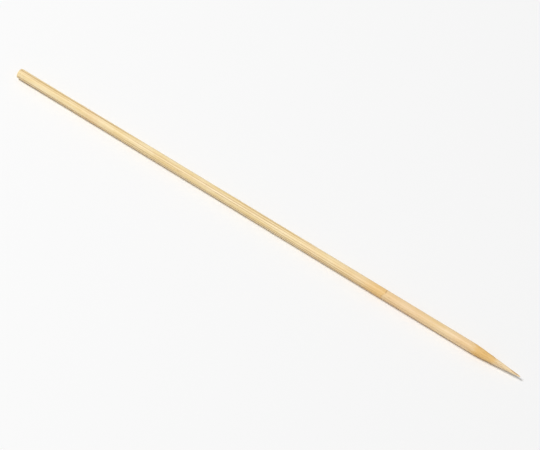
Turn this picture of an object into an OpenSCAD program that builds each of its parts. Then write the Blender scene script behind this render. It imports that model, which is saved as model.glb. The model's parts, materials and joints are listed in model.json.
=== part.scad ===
// Bamboo skewer: one round stick, drawn through a die, sawn square at the butt and ground to a point.
// It lies along X on Z = 0 with the point towards +X, and X = 0 is half way along its length.
// All sizes are in millimetres.

/* [Stick] */
// Overall length, from the sawn butt to the tip
overall_l = 180; // [100:5:400]
// Diameter that the drawing die leaves
stick_d = 3; // [2:0.25:5]

/* [Ground point] */
// Length of the point, from the tip back to where its flank would cut the drawn surface
point_l = 15; // [8:0.5:30]
// Radius of the arc that softens the shoulder between the drawn surface and the flank
shoulder_r = 60; // [5:5:150]
// Radius of the nose that the grinding leaves at the tip
nose_r = 0.2; // [0.1:0.05:0.4]

/* [Sawn butt] */
// Radius of the edge round the sawn face, rounded by tumbling
edge_r = 0.2; // [0.05:0.05:0.5]

/* [Hidden] */

// Sides of the stick's circle when it is drawn as a mesh
round_sides = 64;
// Straight steps in each arc of the outline
arc_steps = 8;
// Greatest share of the flank that the shoulder's arc may take up
shoulder_share = 0.9;

stick_r = stick_d / 2;
// Where the flank would cut the drawn surface, measured from the butt
corner_at = overall_l - point_l;
// Run and slant length from that corner to the middle of the nose
nose_run = point_l - nose_r;
nose_slant = norm([nose_run, stick_r]);
// Angle between the flank and the axis: the flank leaves the corner and just touches the nose
flank_angle = atan2(stick_r, nose_run) - asin(nose_r / nose_slant);
// Length of the flank, from the corner to where it touches the nose
flank_l = sqrt(pow(nose_slant, 2) - pow(nose_r, 2));
// Reach of the shoulder's arc each way from the corner, and its radius where the flank limits it
shoulder_reach = min(shoulder_r * tan(flank_angle / 2), shoulder_share * flank_l);
shoulder_arc_r = shoulder_reach / tan(flank_angle / 2);

// Points of an arc about centre, as [radius, height] pairs
function arc(centre, radius, from, to) = [
    for (step = [0:arc_steps])
        let (turn = from + (to - from) * step / arc_steps)
        centre + radius * [cos(turn), sin(turn)]
];

// Edge of the sawn face: from the face out to the drawn surface
function butt_edge() = arc([stick_r - edge_r, edge_r], edge_r, -90, 0);

// Shoulder: tangent to the drawn surface and to the flank
function shoulder() = arc([stick_r - shoulder_arc_r, corner_at - shoulder_reach], shoulder_arc_r, 0, flank_angle);

// Nose: tangent to the flank, ending on the axis
function nose() = arc([0, overall_l - nose_r], nose_r, flank_angle, 90);

// Half of the stick's lengthwise section, with the butt at the bottom and the tip on top.
// The drawn surface and the flank are the two straight lines between the arcs.
module half_section() {
    polygon(concat([[0, 0]], butt_edge(), shoulder(), nose()));
}

// The stick, turned from its section and laid down along X
module skewer() {
    color("#E6CB94")
        translate([-overall_l / 2, 0, stick_r])
            rotate([0, 90, 0])
                rotate_extrude($fn = round_sides)
                    half_section();
}

skewer();
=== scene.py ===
"""Looks of a bamboo skewer: one drawn stick, sawn square at the butt and ground to a point.

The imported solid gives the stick's place and every size of its outline. A surface worked out with numpy takes
its place in the picture. It carries the marks that drawing, sawing and grinding leave in bamboo, and the
strands of fibre that run through the stick from end to end, so that a streak along the side, a dot on the
sawn face and a line down the point are one and the same strand. A few loose fibres stand up from it.

Lengths are millimetres unless a note says metres. Along is the distance from the butt, turn is the angle
about the stick's axis, from +Y towards +Z, and y and z are measured from the axis. Depths are measured
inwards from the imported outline, so that no mark makes the stick grow out of its own box.
"""

from __future__ import annotations

import json
import logging
import math
from abc import ABC, abstractmethod
from collections.abc import Iterable
from dataclasses import astuple, dataclass
from enum import Enum
from typing import Any, ClassVar

import bpy
import numpy as np
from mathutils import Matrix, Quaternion, Vector

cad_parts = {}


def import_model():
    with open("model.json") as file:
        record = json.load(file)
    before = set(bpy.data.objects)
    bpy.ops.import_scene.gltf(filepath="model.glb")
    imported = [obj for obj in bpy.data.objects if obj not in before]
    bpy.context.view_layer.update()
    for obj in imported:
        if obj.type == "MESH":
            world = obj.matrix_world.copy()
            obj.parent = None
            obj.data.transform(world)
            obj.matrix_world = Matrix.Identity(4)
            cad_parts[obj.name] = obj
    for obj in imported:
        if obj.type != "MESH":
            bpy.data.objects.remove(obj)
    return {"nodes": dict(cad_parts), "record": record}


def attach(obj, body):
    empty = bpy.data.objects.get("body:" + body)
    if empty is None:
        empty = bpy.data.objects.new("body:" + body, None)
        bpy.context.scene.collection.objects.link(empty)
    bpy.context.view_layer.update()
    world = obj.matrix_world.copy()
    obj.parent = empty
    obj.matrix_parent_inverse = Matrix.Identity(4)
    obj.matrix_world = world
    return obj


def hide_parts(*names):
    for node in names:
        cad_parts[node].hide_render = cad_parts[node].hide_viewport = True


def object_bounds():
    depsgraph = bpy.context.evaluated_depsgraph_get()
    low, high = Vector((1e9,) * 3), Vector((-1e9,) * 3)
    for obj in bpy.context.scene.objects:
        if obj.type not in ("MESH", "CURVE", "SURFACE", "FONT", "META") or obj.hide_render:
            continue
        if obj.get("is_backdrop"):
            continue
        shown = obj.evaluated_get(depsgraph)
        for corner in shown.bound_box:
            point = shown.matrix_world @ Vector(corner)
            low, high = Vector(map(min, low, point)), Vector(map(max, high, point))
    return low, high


LOG = logging.getLogger("skewer")
METRES = 0.001  # in a millimetre
FULL_TURN = 2 * math.pi
WHITE = (1.0, 1.0, 1.0, 1.0)
BODY = "root"
CAD_NODE = "skewer"
Array = np.ndarray
Pair = tuple[float, float]
Triple = tuple[float, float, float]
Waves = tuple[Triple, ...]  # height, number in a full turn and phase of each wave
Feed = bpy.types.Node | bpy.types.NodeSocket | float | Iterable[float]  # what a node's input can be given


class Zone(Enum):
    """The stick's finishes, by their number among its material slots."""

    SIDE = 0
    SAWN = 1


class Carried(Enum):
    """Values that the surface carries for its finishes, by the name of their attribute."""

    STRAND = "strand"  # place in the nearest strand, and that strand's tone
    REACH = "strand_reach"  # distance to its middle, in strand radii
    GROUND = "ground"  # share of the drawn skin that grinding has taken off
    STAIN = "stain"  # strength of the gold and the amber
    BLUSH = "blush"  # strength of the warm tint
    KNOT = "knot"  # strength of the knot's line


def linear(hex_colour: str) -> tuple[float, float, float, float]:
    """Turns an sRGB colour into the linear one that Blender's sockets hold.

    Args:
        hex_colour: the colour as "#RRGGBB".

    Returns:
        Linear red, green and blue, and an alpha of 1.
    """
    shares = [int(hex_colour[i : i + 2], 16) / 255 for i in (1, 3, 5)]
    red, green, blue = (c / 12.92 if c <= 0.04045 else ((c + 0.055) / 1.055) ** 2.4 for c in shares)
    return red, green, blue, 1.0


def rise(values: Array, start: float | Array, end: float | Array) -> Array:
    """Smooth step: 0 before start, 1 after end, and 3t^2 - 2t^3 between them.

    Args:
        values: where to read the step.
        start: where it leaves 0.
        end: where it reaches 1. An end below start makes it fall.

    Returns:
        The step at each value.
    """
    share = np.clip((values - start) / (np.asarray(end) - start), 0, 1)
    return share * share * (3 - 2 * share)


def bell(distance: Array, width: float | Array) -> Array:
    """Bell curve: 1 at no distance and about 0.37 at one width, as exp(-(distance / width)^2).

    Args:
        distance: distance from the bell's middle.
        width: its width, in the same unit.

    Returns:
        The height at each distance.
    """
    return np.exp(-((distance / width) ** 2))


def ripple(turn: Array, waves: Waves) -> Array:
    """Sum of sine waves round the stick.

    Args:
        turn: angle of each point.
        waves: height, number in a full turn and phase of each wave.

    Returns:
        The sum at each angle.
    """
    return sum(height * np.sin(count * turn + phase) for height, count, phase in waves)


def ring_faces(rings: int, around: int) -> Array:
    """Joins the points of each ring to those of the next, all round, with faces that point outwards.

    Args:
        rings: number of rings, which follow each other in the list of points.
        around: points in each.

    Returns:
        Rows of four point numbers.
    """
    ring, turn = np.meshgrid(np.arange(rings - 1), np.arange(around), indexing="ij")
    here, there = ring * around + turn, ring * around + (turn + 1) % around
    return np.stack([here, there, there + around, here + around], -1).reshape(-1, 4)


def add_piece(name: str, points: Array, faces: list[Array]) -> bpy.types.Object:
    """Makes a smooth piece at the origin, with its place in its mesh.

    Args:
        name: the piece's name.
        points: one row of x, y and z in millimetres for each point.
        faces: arrays of point numbers, each with three or four columns.

    Returns:
        The piece, riding on the skewer's body.
    """
    mesh = bpy.data.meshes.new(name)
    sides = np.concatenate([np.full(len(part), part.shape[1]) for part in faces])
    corners = np.concatenate([part.ravel() for part in faces])
    starts = np.concatenate([[0], np.cumsum(sides)[:-1]])
    mesh.vertices.add(len(points))
    mesh.vertices.foreach_set("co", (points * METRES).astype(np.float32).ravel())
    mesh.loops.add(len(corners))
    mesh.loops.foreach_set("vertex_index", corners.astype(np.int32))
    mesh.polygons.add(len(starts))
    mesh.polygons.foreach_set("loop_start", starts.astype(np.int32))
    mesh.update(calc_edges=True)
    mesh.polygons.foreach_set("use_smooth", np.ones(len(starts), bool))
    piece = bpy.data.objects.new(name, mesh)
    bpy.context.scene.collection.objects.link(piece)
    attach(piece, BODY)
    return piece


def carry(mesh: bpy.types.Mesh, value: Carried, grid: Array) -> None:
    """Stores a value at every point of the stick. The two end points take the mean of their ring.

    Args:
        mesh: the stick's mesh.
        value: what is stored.
        grid: the value by ring and turn, with a third index if it is a vector.
    """
    ends = np.stack([grid[0].mean(0), grid[-1].mean(0)])
    flat = np.concatenate([grid.reshape(-1, *grid.shape[2:]), ends]).astype(np.float32)
    kind, entry = ("FLOAT_VECTOR", "vector") if grid.ndim == 3 else ("FLOAT", "value")
    mesh.attributes.new(value.value, kind, "POINT").data.foreach_set(entry, flat.ravel())


def add_node(
    tree: bpy.types.NodeTree, kind: str, feeds: dict[str | int, Feed] | None = None, **settings: Any
) -> bpy.types.Node:
    """Adds a node to a material's tree, with its settings, values and links.

    Args:
        tree: the tree that it goes into.
        kind: the node's type name.
        feeds: name or number of a live input, and the value that it gets, or the socket or node that is
            linked to it. A node stands for its first live output.
        settings: properties to set on the node.

    Returns:
        The node.
    """
    node = tree.nodes.new(kind)
    for name, value in settings.items():
        setattr(node, name, value)
    live = [socket for socket in node.inputs if socket.enabled]
    for key, feed in (feeds or {}).items():
        socket = live[key] if isinstance(key, int) else next(one for one in live if one.name == key)
        if isinstance(feed, bpy.types.Node):
            feed = next(output for output in feed.outputs if output.enabled)
        if isinstance(feed, bpy.types.NodeSocket):
            tree.links.new(feed, socket)
        else:
            socket.default_value = feed
    return node


def empty_material(name: str) -> tuple[bpy.types.Material, bpy.types.NodeTree]:
    """Makes a material with no nodes.

    Args:
        name: the material's name.

    Returns:
        The material and its tree.
    """
    material = bpy.data.materials.new(name)
    material.use_nodes = True
    material.node_tree.nodes.clear()
    return material, material.node_tree


def seen_share(tree: bpy.types.NodeTree) -> Feed:
    """Share that is 1 for camera, mirror and see-through rays, and 0 for those that carry light.

    Args:
        tree: the tree that needs it.

    Returns:
        The share.
    """
    rays = add_node(tree, "ShaderNodeLightPath").outputs
    share: Feed = rays["Is Camera Ray"]
    for kind in ("Is Glossy Ray", "Is Transmission Ray"):
        share = add_node(tree, "ShaderNodeMath", {0: share, 1: rays[kind]}, operation="MAXIMUM")
    return share


@dataclass(frozen=True)
class Outline:
    """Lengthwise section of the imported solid.

    Attributes:
        along: places of the solid's edges along the axis.
        radius: the solid's radius at each of them.
        shaft: where the straight drawn shaft starts and ends.
        start: x of the butt's face.
        axis_z: z of the axis.
    """

    along: Array
    radius: Array
    shaft: Pair
    start: float
    axis_z: float

    @classmethod
    def of_solid(cls, solid: bpy.types.Object, mounts: list[dict[str, Any]]) -> Outline:
        """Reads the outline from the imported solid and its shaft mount.

        Args:
            solid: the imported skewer.
            mounts: the record's mounts.

        Returns:
            The outline, whose radius at a place is the largest one that the solid has there.
        """
        flat = np.empty(len(solid.data.vertices) * 3)
        solid.data.vertices.foreach_get("co", flat)
        places = flat.reshape(-1, 3) / METRES
        pin = next(mount for mount in mounts if mount["name"] == "shaft")
        axis_z = pin["pos_m"][2] / METRES
        start = places[:, 0].min()
        # Rounded to a micrometre, so that the points of one circle share one place
        along, group = np.unique(np.round(places[:, 0] - start, 3), return_inverse=True)
        radius = np.zeros(len(along))
        np.maximum.at(radius, group, np.hypot(places[:, 1], places[:, 2] - axis_z))
        middle, half = pin["pos_m"][0] / METRES - start, pin["dims"]["length_mm"] / 2
        return cls(along, radius, (middle - half, middle + half), start, axis_z)

    @property
    def length(self) -> float:
        """Overall length, from the butt's face to the tip."""
        return float(self.along[-1])

    @property
    def stick_radius(self) -> float:
        """Radius of the drawn shaft."""
        return float(self.radius.max())

    @property
    def face_radius(self) -> float:
        """Radius of the flat sawn face, inside its rounded edge."""
        return float(self.radius[0])

    @property
    def edge(self) -> float:
        """Radius of the butt's rounded edge."""
        return self.shaft[0]

    def radius_at(self, along: Array) -> Array:
        """The solid's radius at places along the axis."""
        return np.interp(along, self.along, self.radius)

    def in_frame(self, along: Array, radius: Array, turn: Array) -> Array:
        """Turns along, radius and turn into x, y and z in the part's own frame.

        Args:
            along: place of each point along the stick.
            radius: its distance from the axis.
            turn: its angle.

        Returns:
            The points, with x, y and z as the last index.
        """
        y, z = radius * np.cos(turn), radius * np.sin(turn)
        return np.stack(np.broadcast_arrays(self.start + along, y, self.axis_z + z), -1)


@dataclass(frozen=True)
class Spacing:
    """How closely the rings of the new surface follow each other.

    Attributes:
        widest: largest gap between two rings.
        growth: what a gap gains for each millimetre away from a stretch that needs closer rings.
        at_edge: gap at the butt's rounded edge.
        at_knot: gap at the knot.
        knot_reach: how far from the knot the rings are that close.
        at_point: gap on the point.
        at_nose: gap at the nose.
        nose_reach: length of the nose.
        on_face: rings on the sawn face.
        around: points in each ring.
    """

    widest: float = 1.12
    growth: float = 0.12
    at_edge: float = 0.03
    at_knot: float = 0.1
    knot_reach: float = 1.4
    at_point: float = 0.24
    at_nose: float = 0.02
    nose_reach: float = 0.25
    on_face: int = 34
    around: int = 256

    def close_stretches(self, outline: Outline, knot_at: float) -> tuple[Triple, ...]:
        """Lists the stretches that need closer rings.

        Args:
            outline: the solid's section.
            knot_at: place of the knot.

        Returns:
            Start, end and gap of each.
        """
        tip = outline.length
        return (
            (0.0, outline.edge, self.at_edge),
            (knot_at - self.knot_reach, knot_at + self.knot_reach, self.at_knot),
            (outline.shaft[1], tip, self.at_point),
            (tip - self.nose_reach, tip, self.at_nose),
        )


@dataclass(frozen=True)
class Rings:
    """Rings of the new surface, from the middle of the sawn face outwards and then along the side to the tip.

    Attributes:
        along: place of each ring along the stick.
        radius: its radius.
        on_face: how many of them lie on the sawn face.
        around: points in each.
    """

    along: Array
    radius: Array
    on_face: int
    around: int

    @classmethod
    def spread(cls, outline: Outline, spacing: Spacing, knot_at: float) -> Rings:
        """Spreads the rings over the stick, closer where there is more to show.

        The wanted gap is each close stretch's own gap inside it, and grows with the distance outside it. The
        running sum of its inverse, taken in steps of half the closest gap, counts the rings, and a ring is
        set at each even step of about 1 in it.

        Args:
            outline: the solid's section.
            spacing: the wanted gaps.
            knot_at: place of the knot.

        Returns:
            The rings.
        """
        fine = np.linspace(0, outline.length, math.ceil(2 * outline.length / spacing.at_nose))
        gap = np.full(len(fine), spacing.widest)
        for start, end, own_gap in spacing.close_stretches(outline, knot_at):
            outside = np.maximum(0, np.maximum(start - fine, fine - end))
            gap = np.minimum(gap, own_gap + spacing.growth * outside)
        count = np.concatenate([[0], np.cumsum((fine[1] - fine[0]) / gap[1:])])
        steps = int(count[-1])
        side = np.interp(np.arange(1, steps) * count[-1] / steps, count, fine)
        face = outline.face_radius * np.arange(1, spacing.on_face + 1) / spacing.on_face
        along = np.concatenate([np.zeros(spacing.on_face), side])
        radius = np.concatenate([face, outline.radius_at(side)])
        return cls(along, radius, spacing.on_face, spacing.around)

    @property
    def total(self) -> int:
        """Number of rings."""
        return len(self.along)

    @property
    def travel(self) -> Array:
        """Distance from the middle of the sawn face to each ring, measured along the outline."""
        return np.cumsum(np.hypot(np.diff(self.along, prepend=0), np.diff(self.radius, prepend=0)))

    @property
    def outwards(self) -> tuple[Array, Array]:
        """Works out the outline's normal at each ring, square to the line between its neighbours.

        Returns:
            How far the normal points along the stick, and how far away from the axis.
        """
        step_along, step_radius = np.gradient(self.along), np.gradient(self.radius)
        slant = np.hypot(step_along, step_radius)
        return (-step_radius / slant)[:, None], (step_along / slant)[:, None]


@dataclass(frozen=True)
class Grid:
    """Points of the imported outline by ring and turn, before any mark moves them.

    Attributes:
        along: place of each point along the stick.
        radius: its distance from the axis.
        turn: its angle.
    """

    along: Array
    radius: Array
    turn: Array

    @classmethod
    def on_rings(cls, rings: Rings) -> Grid:
        """Spreads points evenly round every ring.

        Args:
            rings: the rings.

        Returns:
            The points.
        """
        turn = np.arange(rings.around) * FULL_TURN / rings.around
        along, turn = np.meshgrid(rings.along, turn, indexing="ij")
        return cls(along, np.broadcast_to(rings.radius[:, None], along.shape), turn)

    @property
    def y(self) -> Array:
        """The points' y."""
        return self.radius * np.cos(self.turn)

    @property
    def z(self) -> Array:
        """The points' z."""
        return self.radius * np.sin(self.turn)

    def towards(self, turn: float) -> Array:
        """How far each point lies in the direction of an angle in degrees."""
        angle = math.radians(turn)
        return self.y * math.cos(angle) + self.z * math.sin(angle)


@dataclass(frozen=True)
class Bundle:
    """A strand of fibre as a cut shows it: a vascular bundle, in shares of its radius.

    The sheath of fibre has four lobes. Two round vessels lie in it side by side across the line to the bark,
    and two fainter ducts along that line.

    Attributes:
        sheath: distances from the middle at which the sheath ends and is whole.
        lobes: how many lobes it has.
        bulge: how far a lobe stands out.
        vessel_at: distance of a vessel from the middle.
        vessel_radius: its radius.
        duct_at: distance of a fainter duct from the middle.
        duct_radius: its radius.
        duct_share: how strongly it shows.
        soft: distances from a hole's middle at which it ends and is whole, as shares of its radius.
        hole_fray: how far a hole's edge is frayed, as a share of the sheath's fray.
    """

    sheath: Pair = (1.16, 0.76)
    lobes: int = 4
    bulge: float = 0.14
    vessel_at: float = 0.38
    vessel_radius: float = 0.27
    duct_at: float = 0.44
    duct_radius: float = 0.22
    duct_share: float = 0.45
    soft: Pair = (1.3, 0.6)
    hole_fray: float = 0.5

    def open_vessel(self, strand: Array) -> Array:
        """How deep each point lies in an open vessel: 1 in its middle and 0 outside it.

        Args:
            strand: the point's place in its strand, across and towards the bark.

        Returns:
            The share at each point.
        """
        off_middle = np.hypot(np.abs(strand[..., 0]) - self.vessel_at, strand[..., 1])
        return rise(off_middle, self.vessel_radius * self.soft[0], 0)

    def draw(self, tree: bpy.types.NodeTree, noise: Feed, fray: float) -> tuple[Feed, Feed, Feed]:
        """Draws the strand that the surface carries.

        The sheath's edge lies where reach - bulge * cos(lobes * angle) passes the sheath's distances, and a
        noise frays it.

        Args:
            tree: the material's tree.
            noise: what frays the edges.
            fray: how far it frays the sheath's edge.

        Returns:
            The share of sheath, the share of vessel or duct, and the strand's tone.
        """
        place = add_node(tree, "ShaderNodeAttribute", attribute_name=Carried.STRAND.value).outputs["Vector"]
        reach = add_node(tree, "ShaderNodeAttribute", attribute_name=Carried.REACH.value).outputs["Fac"]
        wide, deep, tone = add_node(tree, "ShaderNodeSeparateXYZ", {0: place}).outputs
        angle = add_node(tree, "ShaderNodeMath", {0: wide, 1: deep}, operation="ARCTAN2")
        angles = add_node(tree, "ShaderNodeMath", {0: angle, 1: self.lobes}, operation="MULTIPLY")
        wave = add_node(tree, "ShaderNodeMath", {0: angles}, operation="COSINE")
        edge = add_node(tree, "ShaderNodeMath", {0: wave, 1: -self.bulge, 2: reach}, operation="MULTIPLY_ADD")
        off = add_node(tree, "ShaderNodeMath", {0: noise, 1: fray, 2: -fray / 2}, operation="MULTIPLY_ADD")
        frayed = add_node(tree, "ShaderNodeMath", {0: edge, 1: off}, operation="ADD")
        step = {"Value": frayed, "From Min": self.sheath[0], "From Max": self.sheath[1]}
        sheath = add_node(tree, "ShaderNodeMapRange", step, interpolation_type="SMOOTHSTEP")
        holes = self.draw_holes(tree, place, off)
        inside = add_node(tree, "ShaderNodeMath", {0: holes, 1: sheath}, operation="MULTIPLY")
        return sheath, inside, tone

    def draw_holes(self, tree: bpy.types.NodeTree, place: Feed, off: Feed) -> Feed:
        """Draws the vessels and ducts as soft discs. The absolute place folds the four of them onto two.

        Args:
            tree: the material's tree.
            place: the point's place in its strand.
            off: how far the sheath's edge is frayed there.

        Returns:
            The share of vessel or duct.
        """
        folded = add_node(tree, "ShaderNodeVectorMath", {0: place}, operation="ABSOLUTE")
        flat = add_node(tree, "ShaderNodeVectorMath", {0: folded, 1: (1.0, 1.0, 0.0)}, operation="MULTIPLY")
        holes: Feed = 0.0
        for middle, radius, most in (
            ((self.vessel_at, 0.0, 0.0), self.vessel_radius, 1.0),
            ((0.0, self.duct_at, 0.0), self.duct_radius, self.duct_share),
        ):
            gap = add_node(tree, "ShaderNodeVectorMath", {0: flat, 1: middle}, operation="DISTANCE")
            ragged = {0: off, 1: self.hole_fray, 2: gap}
            ragged = add_node(tree, "ShaderNodeMath", ragged, operation="MULTIPLY_ADD")
            outer, inner = (radius * share for share in self.soft)
            step = {"Value": ragged, "From Min": outer, "From Max": inner, "To Max": most}
            hole = add_node(tree, "ShaderNodeMapRange", step, interpolation_type="SMOOTHSTEP")
            holes = add_node(tree, "ShaderNodeMath", {0: holes, 1: hole}, operation="MAXIMUM")
        return holes


@dataclass(frozen=True)
class Strands:
    """The strands of fibre in the stick.

    They stand in rows across the section, close and thin at the bark side and further apart at the pith side,
    as in the wall of a culm. Every strand runs along the stick with a small slope and a slow wander of its
    own, and swerves where the culm had its knot.

    Attributes:
        bundle: shape of every strand.
        bark_turn: direction of the bark side about the axis, in degrees.
        bark_pitch: distance between strands at the bark side.
        pitch_growth: what each row adds to that distance.
        rows: rows of strands across the section.
        first_row: distance of the first row from the axis, towards the bark.
        bark_radius: radius of a strand at the bark side.
        radius_growth: what each row adds to that radius.
        radius_spread: least and greatest share of the row's radius that a strand has.
        jitter: how far a strand stands from its place in the row, as a share of the pitch.
        slope: how far the grain runs sideways along the whole stick.
        wander: how far a strand strays from its line.
        wander_length: least and greatest length of its waves.
        swell: how much its radius changes along it, as a share.
        swerve: how far it swerves at the knot.
        swerve_length: half the length of that swerve.
        seed: of the draws.
    """

    bundle: Bundle = Bundle()
    bark_turn: float = 205.0
    bark_pitch: float = 0.42
    pitch_growth: float = 0.055
    rows: int = 8
    first_row: float = 1.85
    bark_radius: float = 0.12
    radius_growth: float = 0.011
    radius_spread: Pair = (0.8, 1.2)
    jitter: float = 0.26
    slope: float = 0.5
    wander: float = 0.06
    wander_length: Pair = (45.0, 120.0)
    swell: float = 0.15
    swerve: float = 0.16
    swerve_length: float = 1.9
    seed: int = 4

    def section(self, reach: float) -> tuple[Array, Array, Array]:
        """Places the strands in the section.

        Row n lies n pitches below the first, and each pitch is pitch_growth wider than the one before. The
        strands of a row are one pitch apart, and every other row is shifted by half a pitch.

        Args:
            reach: largest distance from the axis at which a strand can still show.

        Returns:
            How far each strand lies towards the bark, how far across that direction, and its radius.
        """
        draws = np.random.default_rng(self.seed)
        row = np.repeat(np.arange(self.rows), 2 * self.rows + 1)
        place = np.tile(np.arange(-self.rows, self.rows + 1), self.rows)
        pitch = self.bark_pitch + self.pitch_growth * row
        deep = self.first_row - self.bark_pitch * row - self.pitch_growth * row * (row - 1) / 2
        wide = (place + 0.5 * (row % 2)) * pitch
        deep = deep + self.jitter * pitch * draws.uniform(-1, 1, len(row))
        wide = wide + self.jitter * pitch * draws.uniform(-1, 1, len(row))
        own_share = draws.uniform(*self.radius_spread, len(row))
        radius = (self.bark_radius + self.radius_growth * row) * own_share
        near = np.hypot(deep, wide) < reach
        return deep[near], wide[near], radius[near]

    def read(self, grid: Grid, length: float, knot_at: float) -> tuple[Array, Array]:
        """Finds the strand that lies closest to each point.

        Args:
            grid: the stick's points.
            length: the stick's length.
            knot_at: place of the knot.

        Returns:
            The point's place in that strand, across and towards the bark, in strand radii, with the strand's
            tone from 0 to 1 as a third number, and its distance to the strand's middle.
        """
        along = grid.along
        point_deep, point_wide = grid.towards(self.bark_turn), grid.towards(self.bark_turn + 90)
        strand_deep, strand_wide, radius = self.section(float(grid.radius.max()) + self.slope)
        draws = np.random.default_rng(self.seed + 1)
        phase = draws.uniform(0, FULL_TURN, (3, len(radius)))
        wave = draws.uniform(*self.wander_length, (3, len(radius)))
        tone = draws.uniform(0, 1, len(radius))
        aside = draws.uniform(-1, 1, (2, len(radius)))
        reach = np.full(along.shape, np.inf)
        place = np.zeros((*along.shape, 3))
        lean = self.slope * (along / length - 0.5)
        swerve = self.swerve * bell(along - knot_at, self.swerve_length)
        for n, mean_radius in enumerate(radius):
            sway, bob, breath = (np.sin(FULL_TURN * along / wave[i, n] + phase[i, n]) for i in range(3))
            middle_wide = strand_wide[n] + lean + self.wander * sway + aside[0, n] * swerve
            middle_deep = strand_deep[n] + self.wander * bob + aside[1, n] * swerve
            own_radius = mean_radius * (1 + self.swell * breath)
            wide, deep = (point_wide - middle_wide) / own_radius, (point_deep - middle_deep) / own_radius
            gap = np.hypot(wide, deep)
            here = np.stack([wide, deep, np.full(along.shape, tone[n])], -1)
            place = np.where((gap < reach)[..., None], here, place)
            reach = np.minimum(reach, gap)
        return place, reach


@dataclass(frozen=True)
class Growth:
    """What had grown before the bamboo was cut: a knot of the culm, and the colours on each side of it.

    Attributes:
        knot_at: place of the knot, where the photograph shows a break in the colour.
        knot_waves: how the knot's line wanders round the stick.
        knot_width: half the width of that line.
        knot_depth: its depth.
        dashes: what breaks the line into dashes.
        dash_middle: strength of the line between strong and weak dashes.
        stain_from: where the golden stain before the knot starts.
        stain_whole: how far before the knot it is at its strongest.
        stain_share: how strong it is there.
        stain_edge: how far past the knot it has ended.
        warm_from: where the wood starts to turn warmer towards the knot.
        warmth: how warm it is at the knot.
        blushes: place, half length and strength of each slightly pink stretch.
        blush_sway: how far a pink stretch shifts along the stick on its way round it.
    """

    knot_at: float = 133.0
    knot_waves: Waves = ((0.45, 1, 0.6), (0.18, 4, 0.0), (0.05, 13, 1.1), (0.03, 27, 0.0))
    knot_width: float = 0.19
    knot_depth: float = 0.024
    dashes: Waves = ((0.3, 1, 0.5), (0.25, 5, 0.3), (0.2, 23, 1.7))
    dash_middle: float = 0.42
    stain_from: float = 123.0
    stain_whole: float = 3.0
    stain_share: float = 0.62
    stain_edge: float = 0.2
    warm_from: float = 96.0
    warmth: float = 0.62
    blushes: tuple[Triple, ...] = ((27, 4, 0.5), (107, 4, 0.3), (140, 6, 0.6), (160, 3, 0.5))
    blush_sway: float = 0.8

    def knot_line(self, grid: Grid) -> Array:
        """Place of the knot's line along the stick, at the angle of each point."""
        return self.knot_at + ripple(grid.turn, self.knot_waves)

    def knot(self, grid: Grid) -> Array:
        """Strength of the knot's dark line: a narrow bell across it, broken into dashes round the stick.

        Args:
            grid: the stick's points.

        Returns:
            The strength at each point, from 0 to 1.
        """
        strength = np.clip(self.dash_middle + ripple(grid.turn, self.dashes), 0, 1)
        return strength * bell(grid.along - self.knot_line(grid), self.knot_width)

    def stain(self, grid: Grid) -> Array:
        """Golden stain that fades in before the knot and stops at it: a slow rise times a quick fall.

        Args:
            grid: the stick's points.

        Returns:
            The strength at each point.
        """
        line = self.knot_line(grid)
        comes = rise(grid.along, self.stain_from, self.knot_at - self.stain_whole)
        goes = rise(grid.along, line + self.stain_edge, line - self.stain_edge)
        return self.stain_share * comes * goes

    def blush(self, grid: Grid) -> Array:
        """Warm tint that grows towards the knot, with a few pinker stretches, each a bell along the stick.

        Args:
            grid: the stick's points.

        Returns:
            The strength at each point, from 0 to 1.
        """
        total = self.warmth * rise(grid.along, self.warm_from, self.knot_at)
        for middle, half, strength in self.blushes:
            sway = self.blush_sway * np.sin(grid.turn + middle)
            total = total + strength * bell(grid.along - middle + sway, half)
        return np.clip(total, 0, 1)


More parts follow.
